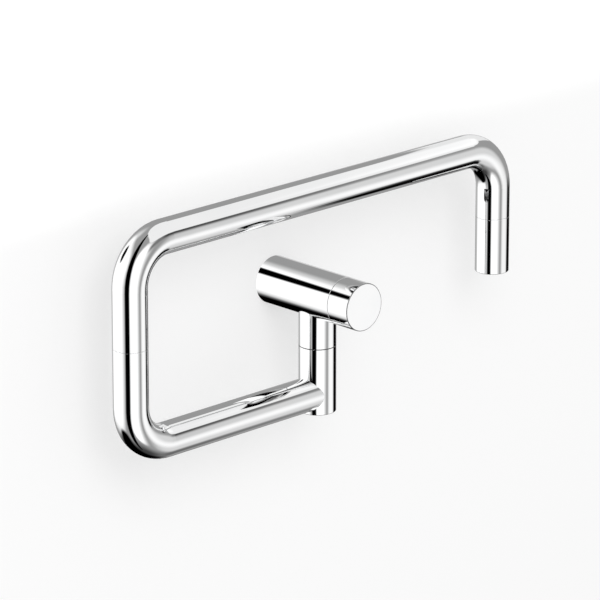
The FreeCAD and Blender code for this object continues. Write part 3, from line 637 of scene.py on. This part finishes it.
seamRings = {
    "gap": 0.0004,
    "chamfer": 0.00015,
    "clearance": 0.00003,
    "depth": 0.0007,
    "steps": 180,
    # black ring that paints the post seam's gap in shade
    "postSeamShadeRing": dict(washer="swivel_upper_washer", tube="post_lower", body="body",
                         slotName="black_rubber", flared=True),
    "elbowSeamRing": dict(washer="elbow_washer", tube="outlet_sleeve", body="lower_arm",
                          slotName="polished_chrome", flared=False),
    "outletSeamRing": dict(washer="outlet_glide_washer", tube="outlet_sleeve", body="upper_arm",
                           slotName="polished_chrome", flared=False),
}


def makeSeamRing(name, washer, tube, body, slotName, flared):
    low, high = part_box(washer)
    centre = (Vector(low) + Vector(high)) / 2
    tubeLow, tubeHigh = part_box(tube)
    radius = (tubeHigh[0] - tubeLow[0]) / 2
    inner = radius - seamRings["depth"]
    neck = radius - seamRings["chamfer"]
    outer = radius - seamRings["clearance"]
    half = seamRings["gap"] / 2 - seamRings["clearance"]
    mouth = half
    if flared:
        mouth += seamRings["chamfer"] - seamRings["clearance"]
    section = ((inner, -half), (neck, -half), (outer, -mouth),
               (outer, mouth), (neck, half), (inner, half))
    bm = bmesh.new()
    line = addOutline(bm, [centre + Vector((reach, 0, height)) for reach, height in section],
                      closed=True)
    bmesh.ops.spin(bm, geom=line, cent=centre, axis=(0, 0, 1), angle=math.tau,
                   steps=seamRings["steps"], use_merge=True)
    addPiece(bm, name, slotName, body)


for ringName in ("postSeamShadeRing", "elbowSeamRing", "outletSeamRing"):
    makeSeamRing(ringName, **seamRings[ringName])
print("seam rings made")


# inlet nipple with its pipe thread

nipple = {
    "crest": 0.0104775,
    "pitch": 0.001814,
    "depth": 0.00116,
    "flank": (0.1, 0.4),                    # shares of the pitch where a flank starts and ends
    "stepsPerTurn": 60,
    "startBevel": 0.0012,                   # the thread's lead-in
    "flange": (0.0115, 0.0025),             # radius, thickness
    "spigot": 0.0095,
    "bore": 0.0055,
    "screwGroove": (0.0086, 0.005, 0.0094), # floor's radius, near side, far side
    "strainer": (0.008, 0.001),             # radius, depth of its seat
}


def threadSurface(bm, length):
    crest = nipple["crest"]
    pitch = nipple["pitch"]
    root = crest - nipple["depth"]
    turns = math.ceil(length / pitch) + 2
    foot, top = nipple["flank"]
    tooth = ((root, 0.0), (root, foot), (crest, top), (crest, 1 - top), (root, 1 - foot), (root, 1.0))
    line = addOutline(bm, [(radius, (share - 1) * pitch, 0.0) for radius, share in tooth])
    steps = turns * nipple["stepsPerTurn"]
    bmesh.ops.spin(bm, geom=line, cent=(0, 0, 0), axis=(0, 1, 0), angle=math.tau * turns,
                   steps=steps, dvec=(0, pitch / nipple["stepsPerTurn"], 0))
    bmesh.ops.remove_doubles(bm, verts=bm.verts, dist=mergeReach)
    for height, side in ((0.0, -1), (length, 1)):
        bmesh.ops.bisect_plane(bm, geom=bm.verts[:] + bm.edges[:] + bm.faces[:], dist=mergeReach / 10,
                               plane_co=(0, height, 0), plane_no=(0, side, 0), clear_outer=True)
    leadIn = length - nipple["startBevel"]
    for vert in bm.verts:
        radius = math.hypot(vert.co.x, vert.co.z)
        limit = crest - max(0.0, vert.co.y - leadIn)
        if radius > limit:
            vert.co.x *= limit / radius
            vert.co.z *= limit / radius


def nippleOutline(length, spigotEnd):
    flange, thickness = nipple["flange"]
    spigot = nipple["spigot"]
    corners = [(flange, 0.0), (flange, -thickness), (spigot, -thickness)]
    grooves = [nipple["screwGroove"]]
    for name in ("nipple_o_ring_2", "nipple_o_ring_1"):
        low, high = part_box(name)
        section = (high[1] - low[1]) / 2
        grooves.append(((high[0] - low[0]) / 2 - 2 * section, -high[1], -low[1]))
    for floor, near, far in sorted(grooves, key=lambda groove: groove[1]):
        corners += [(spigot, -near), (floor, -near), (floor, -far), (spigot, -far)]
    seat, depth = nipple["strainer"]
    bore = nipple["bore"]
    corners += [(spigot, spigotEnd), (bore, spigotEnd), (bore, length - depth),
                (seat, length - depth), (seat, length)]
    return [(radius, height, 0.0) for radius, height in corners]


def makeNipple():
    low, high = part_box("inlet_nipple")
    length = high[1]
    bm = bmesh.new()
    threadSurface(bm, length)
    line = addOutline(bm, nippleOutline(length, low[1]))
    bmesh.ops.spin(bm, geom=line, cent=(0, 0, 0), axis=(0, 1, 0), angle=math.tau,
                   steps=nipple["stepsPerTurn"] * 2, use_merge=True)
    for height in (0.0, length):
        rim = [edge for edge in bm.edges if edge.is_boundary
               and all(abs(vert.co.y - height) < mergeReach * 10 for vert in edge.verts)]
        bmesh.ops.bridge_loops(bm, edges=rim)
    piece = addPiece(bm, "threadedNipple", "plain_brass", "body")
    piece.visible_glossy = False            # it is behind the wall, out of the chrome's reflections
    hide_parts("inlet_nipple")


makeNipple()
print("nipple made")


# woven wire screen in the outlet's mouth

screen = {
    "pitch": 0.0009,
    "wire": 0.00011,                        # radius
    "weave": 0.00012,                       # how far a wire goes up and down
    "lift": 0.0004,                         # above the ring's lower face
    "rimGap": 0.0001,
    "smoothBelow": 60.0,
}


def makeScreen():
    low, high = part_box("aerator_ring")
    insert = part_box("aerator_insert")
    centre = ((low[0] + high[0]) / 2, (low[1] + high[1]) / 2)
    reach = (insert[1][0] - insert[0][0]) / 2 - screen["rimGap"]
    height = low[2] + screen["lift"]
    count = int(reach / screen["pitch"])
    curve = bpy.data.curves.new("screenWires", "CURVE")
    curve.dimensions = "3D"
    curve.bevel_depth = screen["wire"]
    curve.bevel_resolution = 1
    curve.use_fill_caps = True
    for across in (0, 1):
        for i in range(-count, count + 1):
            offset = i * screen["pitch"]
            half = math.sqrt(reach ** 2 - offset ** 2)
            inner = int(half / screen["pitch"])
            stations = [-half] + [j * screen["pitch"] for j in range(-inner, inner + 1)] + [half]
            wire = curve.splines.new("POLY")
            wire.points.add(len(stations) - 1)
            for j, station in enumerate(stations):
                lift = screen["weave"] * (-1) ** (i + j - inner + across)
                if j in (0, len(stations) - 1):
                    lift = 0.0
                x, y = (offset, station) if across else (station, offset)
                wire.points[j].co = (centre[0] + x, centre[1] + y, height + lift, 1.0)
    wires = bpy.data.objects.new("screenWires", curve)
    mesh = bpy.data.meshes.new_from_object(wires)
    bm = bmesh.new()
    bm.from_mesh(mesh)
    bpy.data.objects.remove(wires)
    bpy.data.curves.remove(curve)
    bpy.data.meshes.remove(mesh)
    addPiece(bm, "aeratorScreen", "stainless_steel", "outlet", screen["smoothBelow"])


makeScreen()
print("screen made")
